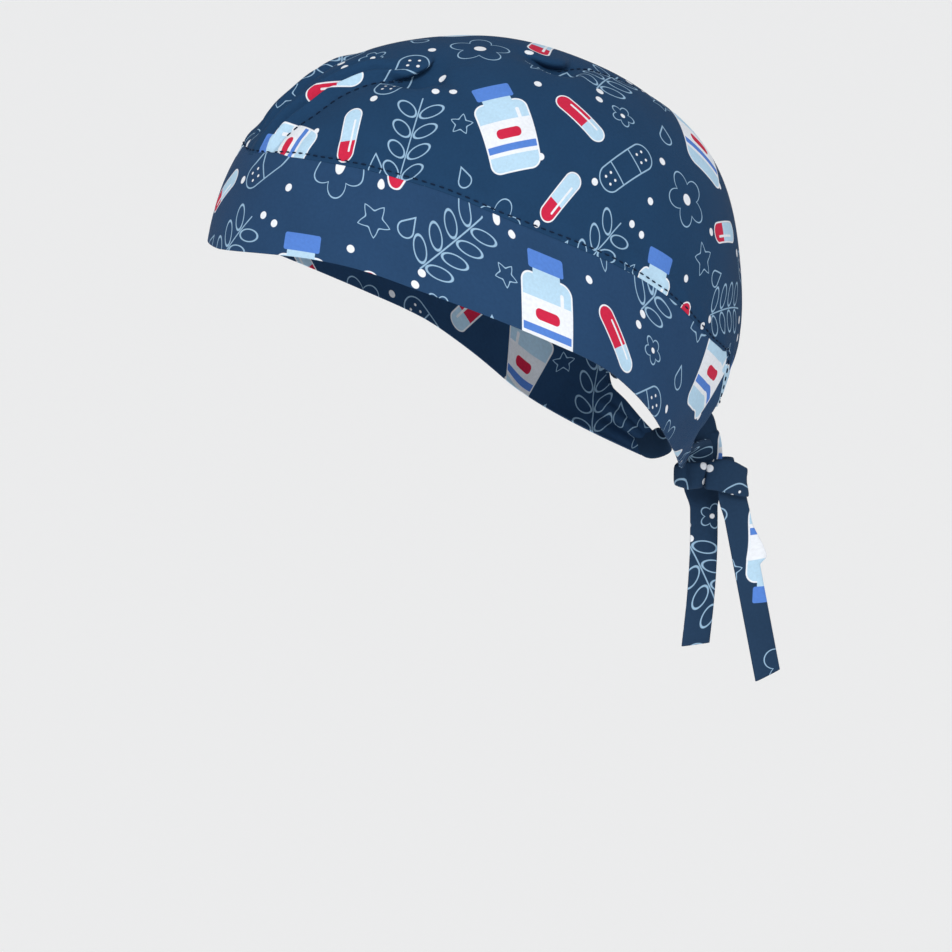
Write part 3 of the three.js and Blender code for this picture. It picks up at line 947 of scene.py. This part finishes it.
def tieStations(row):
    # place, lie, width and thickness of a tie from the band to its free end
    hand = row["hand"]
    inner, outer, bend = strapForm["innerLayer"], strapForm["outerLayer"], strapForm["bend"]
    wide, thick = strapForm["width"], strapForm["thick"]
    down, onward = Vector((0, 0, -1)), Vector((0, hand, 0))
    aside = Vector((-hand, 0, 0))
    radius = (inner + outer) / 2
    mirror = Vector((hand, 1, 1))
    start = Vector(strapForm["bandEnd"])
    lead = start + strapForm["endWay"] * (seamGap + wide / 4)
    within = bandLines.pulled(tieCloth["tuckAt"], 0.5) - Vector(strapForm["knot"])
    within -= strapForm["endWay"].cross(strapForm["endLie"]) * bandCloth["wall"] / 2
    stations = []
    starts = ((within, tieCloth["tucked"]), (start, tieCloth["leaving"]), (lead, (1, 1)))
    for spot, (wider, thicker) in starts:
        stations.append((spot * mirror, strapForm["endLie"] * mirror, wide * wider, thick * thicker))
    for x, y, z, lie, width in row["entry"]:
        stations.append((Vector((x, y, z)), Vector(lie), width, thick))
    for spot, way in bendStations(Vector((hand * inner, row["enterBack"], bend)), down, onward, bend):
        stations.append((spot, Vector((0, -way.z, way.y)), wide, thick))
    turn = bendStations(Vector((hand * inner, row["turnBack"] - hand * radius, 0)), onward, aside, radius)
    turn += bendStations(turn[-1][0], aside, -onward, radius)[1:]
    for number, (spot, _) in enumerate(turn):
        bulge = math.sin(math.pi * number / (len(turn) - 1))
        slim = row["turnWide"] * bulge
        plump = 1 + tieCloth["turnPlump"] * slim
        stations.append((spot, Vector((0, 0, hand)), wide * (1 - slim), thick * plump))
    if hand > 0:
        drop = bendStations(Vector((-outer, row["dropBack"] + bend, 0)), -onward, down, bend)
        for number, (spot, way) in enumerate(drop):
            share = number / tieCloth["bendSteps"]
            moved = aside * tieCloth["dropDeep"] + Vector((0, tieCloth["dropBack"], 0))
            bunched = mix(wide, tieCloth["dropWide"], share)
            stations.append((spot + moved * share, Vector((0, way.z, -way.y)), bunched, thick))
        lie = Vector((0, -1, 0))
    else:
        stations += [(Vector(spot), Vector(lie), width, deep) for spot, lie, width, deep in lobes]
        lie = Vector((0, 1, 0))
    leave = stations[-1][0]
    end = Vector((-hand * outer, row["endBack"], row["endUp"]))
    for share in tieCloth["freeShares"]:
        swayed = Vector((0, row["sway"] * math.sin(math.pi * share), 0))
        stations.append((leave.lerp(end, share) + swayed, lie, row["tailWide"], thick))
    return stations


def makeTie(row):
    stations = tieStations(row)
    spots = [station[0] for station in stations]
    lies = [station[1] for station in stations]
    sizes = [Vector((station[2], station[3], 0)) for station in stations]
    fine = tieCloth["routeSteps"]
    route = [curveThrough(spots, step / fine) for step in range(fine + 1)]
    length = [0.0]
    for before, after in zip(route, route[1:]):
        length.append(length[-1] + (after - before).length)
    along, around = tieCloth["along"], tieCloth["around"]
    sections = []
    step = 0
    for number in range(along + 1):
        goal = length[-1] * number / along
        while step < fine - 1 and length[step + 1] < goal:
            step += 1
        at = (step + (goal - length[step]) / (length[step + 1] - length[step])) / fine
        centre = curveThrough(spots, at)
        way = curveThrough(spots, at + tieCloth["probe"]) - curveThrough(spots, at - tieCloth["probe"])
        way.normalize()
        lie = curveThrough(lies, at)
        lie = (lie - lie.project(way)).normalized()
        size = curveThrough(sizes, at)
        sections.append((centre + Vector(strapForm["knot"]), way, lie, size.x / 2, size.y / 2))

    def ring(a):
        angle = 2 * math.pi * a
        c, s = math.cos(angle), math.sin(angle)
        across = math.copysign(abs(c) ** tieCloth["edgeFull"], c)
        out = math.copysign(abs(s) ** tieCloth["faceFull"], s)
        return across, out

    def place(a, b):
        centre, way, lie, halfWide, halfThick = sections[round(b * along)]
        across, out = ring(a)
        spot = centre + lie * across * halfWide + lie.cross(way) * out * halfThick
        if row["flare"]:
            start, widest, end, most = row["flare"]
            flared = ease(start, widest, b) * (1 - ease(widest, end, b))
            spot += lie * most * flared * ease(0, 1, across)
        return spot + way * row["endSlant"] * across * ease(tieCloth["slantFrom"], 1, b)

    bm = bmesh.new()
    uv = bm.loops.layers.uv.new("cloth")
    edgeLength = [0.0]
    for number in range(around):
        (x0, y0), (x1, y1) = ring(number / around), ring((number + 1) / around)
        side = math.hypot((x1 - x0) * strapForm["width"] / 2, (y1 - y0) * strapForm["thick"] / 2)
        edgeLength.append(edgeLength[-1] + side)

    def flatten(vert, a, b):
        flat = Vector((edgeLength[round(a * around)] + row["printAt"], b * length[-1])) * mm
        for loop in vert.link_loops:
            loop[uv].uv = flat

    clothGrid(bm, around, along, place, flatten)
    bmesh.ops.remove_doubles(bm, verts=bm.verts, dist=tieCloth["weld"] * mm)
    bmesh.ops.holes_fill(bm, edges=[edge for edge in bm.edges if edge.is_boundary], sides=0)
    bmesh.ops.recalc_face_normals(bm, faces=bm.faces)
    return bm, length[-1]


tiePieces = {}
for side, row in tieRows.items():
    tieMesh, tieLength = makeTie(row)
    tiePieces[side] = pieceFrom(tieMesh, "tie_cloth_" + side, [tiePrint]), tieLength * mm
    print("tie", side, "is", round(tieLength), "mm long")

stitchForm = {
    "pitch": 3.1, "length": 2.1, "thick": 0.62, "sink": 0.1,  # millimetres
    "segments": (6, 5),
    "dartOff": 1.7,  # a dart's stitches lie this far beside its line
    "clear": 2,  # from a dart's end and from the next row
    "steps": 420, "endSteps": 4, "stripSteps": 40,
}


def stitchRow(bm, spots):
    # small flat stitches at an even pitch along places that each have the way outwards
    gone = 0.0
    goal = stitchForm["pitch"] / 2
    turns, rings = stitchForm["segments"]
    for (here, outHere), (there, outThere) in zip(spots, spots[1:]):
        span = (there - here).length
        while span > 1e-6 and goal <= gone + span:
            share = (goal - gone) / span
            way = (there - here).normalized()
            outward = outHere.lerp(outThere, share)
            outward = (outward - outward.project(way)).normalized()
            middle = here.lerp(there, share) + outward * (stitchForm["thick"] / 2 - stitchForm["sink"])
            turn = Matrix((way, outward.cross(way), outward)).transposed().to_4x4()
            long, thick = stitchForm["length"] / 2 * mm, stitchForm["thick"] / 2 * mm
            place = Matrix.Translation(middle * mm) @ turn @ Matrix.Diagonal((long, thick, thick, 1))
            bmesh.ops.create_uvsphere(bm, u_segments=turns, v_segments=rings, radius=1, matrix=place)
            goal += stitchForm["pitch"]
        gone += span


def outwardAt(place, a, b):  # the way outwards of a panel where two shares meet
    step = 0.002
    across = place(a + step, b) - place(a - step, b)
    return across.cross(place(a, b + step) - place(a, b - step)).normalized()


def awayFromMiddle(spot):
    return spot - Vector((0, 0, eggForm["middle"]))


def sideStitches(bm, hand):
    def side(a, b):
        return panels.side(a, b, hand)

    steps, clear = stitchForm["steps"], stitchForm["clear"]
    frontEnd, backEnd = crownCloth["dartEnds"]
    edge, front, back = [], [], []
    for step in range(stitchForm["endSteps"], steps - stitchForm["endSteps"] + 1):
        along = step / steps
        _, (over, _), length = panels.column(along)
        hem = hemShare(mix(panels.firstAround, panels.lastAround, along))
        up = mix(crownCloth["stitchUp"], crownCloth["hemUp"], hem)
        if length > up + clear:
            edge.append((along, up / length))
        if length > 2 * stitchForm["dartOff"] + crownCloth["hemUp"]:
            besideDart = along, 1 - stitchForm["dartOff"] / length
            if over < frontEnd - clear:
                front.append(besideDart)
            if over > backEnd + clear:
                back.append(besideDart)
    for row in (edge, front, back):
        spots = []
        for a, b in row:
            spot = side(a, b)
            outward = outwardAt(side, a, b)
            if outward.dot(awayFromMiddle(spot)) < 0:
                outward = -outward
            spots.append((spot, outward))
        stitchRow(bm, spots)


def stripStitches(bm, isBack):
    spots = []
    up = crownCloth["hemUp"] if isBack else crownCloth["stitchUp"]
    steps = stitchForm["stripSteps"]
    for step in range(-steps, steps + 1):
        share = step / steps
        start, end = panels.stripEnds(share)
        rise = up / overDegrees(end, start)
        spot = panels.strip(share, 1 - rise if isBack else rise)
        spots.append((spot, awayFromMiddle(spot).normalized()))
    stitchRow(bm, spots)


def crownStitches():
    bm = bmesh.new()
    for hand in (1, -1):
        sideStitches(bm, hand)
    for isBack in (False, True):
        stripStitches(bm, isBack)
    return bm


stitches = pieceFrom(crownStitches(), "crown_stitches", [threadNavy])
print("stitched,", len(stitches.data.polygons), "faces")
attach(stitches, "root")

for piece, node, slot in ((crown, "crown", "crown_cloth"), (band, "band", "band_cloth"),
                          (tiePieces["left"][0], "tie_left", "tie_cloth"),
                          (tiePieces["right"][0], "tie_right", "tie_cloth")):
    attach(piece, "root")
    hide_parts(node)

for piece, length in tiePieces.values():
    strapForm["width"] * mm

floorSetup = {"height": -0.8, "size": 40.0, "glow": 0.11, "rough": 0.9, "pale": (0.88, 0.88, 0.88, 1)}


def makeFloor(setup):
    bm = bmesh.new()
    bmesh.ops.create_circle(bm, cap_ends=True, segments=64, radius=setup["size"])
    bmesh.ops.translate(bm, verts=bm.verts, vec=(0, 0, setup["height"]))
    material, tree, shader = newMaterial("paleFloor")
    feed(tree, shader, {"Base Color": setup["pale"], "Roughness": setup["rough"]})
    feed(tree, shader, {"Emission Color": (1, 1, 1, 1), "Emission Strength": setup["glow"]})
    floor = pieceFrom(bm, "paleFloor", [material])


makeFloor(floorSetup)

lightSetup = {
    "world": ((0.96, 0.975, 1.0), 0.48),
    "suns": {  # right of, towards and above the object, as the camera sees it
        "key": {"from": (-0.25, 1.2, 0.78), "angle": 22, "strength": 1.9, "colour": (1.0, 0.99, 0.97)},
        "fill": {"from": (0.5, 1.2, 0.15), "angle": 60, "strength": 0.75, "colour": (0.96, 0.98, 1.0)},
    },
}


def makeLights(setup):
    world = bpy.data.worlds.new("studio")
    world.use_nodes = True
    backdrop = world.node_tree.nodes["Background"]
    backdrop.inputs["Color"].default_value = (*setup["world"][0], 1)
    backdrop.inputs["Strength"].default_value = setup["world"][1]
    scene.world = world
    level = Vector((viewBack.x, viewBack.y, 0)).normalized()
    for name, row in setup["suns"].items():
        aside, towards, above = row["from"]
        spot = viewRight * aside + level * towards + Vector((0, 0, above))
        lamp = bpy.data.lights.new(name + "Sun", "SUN")
        lamp.angle = math.radians(row["angle"])
        lamp.energy = row["strength"]
        lamp.color = row["colour"]
        light = bpy.data.objects.new(name + "Sun", lamp)
        light.location = spot
        light.rotation_euler = (-spot).to_track_quat("-Z", "Y").to_euler()
        scene.collection.objects.link(light)


makeLights(lightSetup)
print("floor and lights placed")
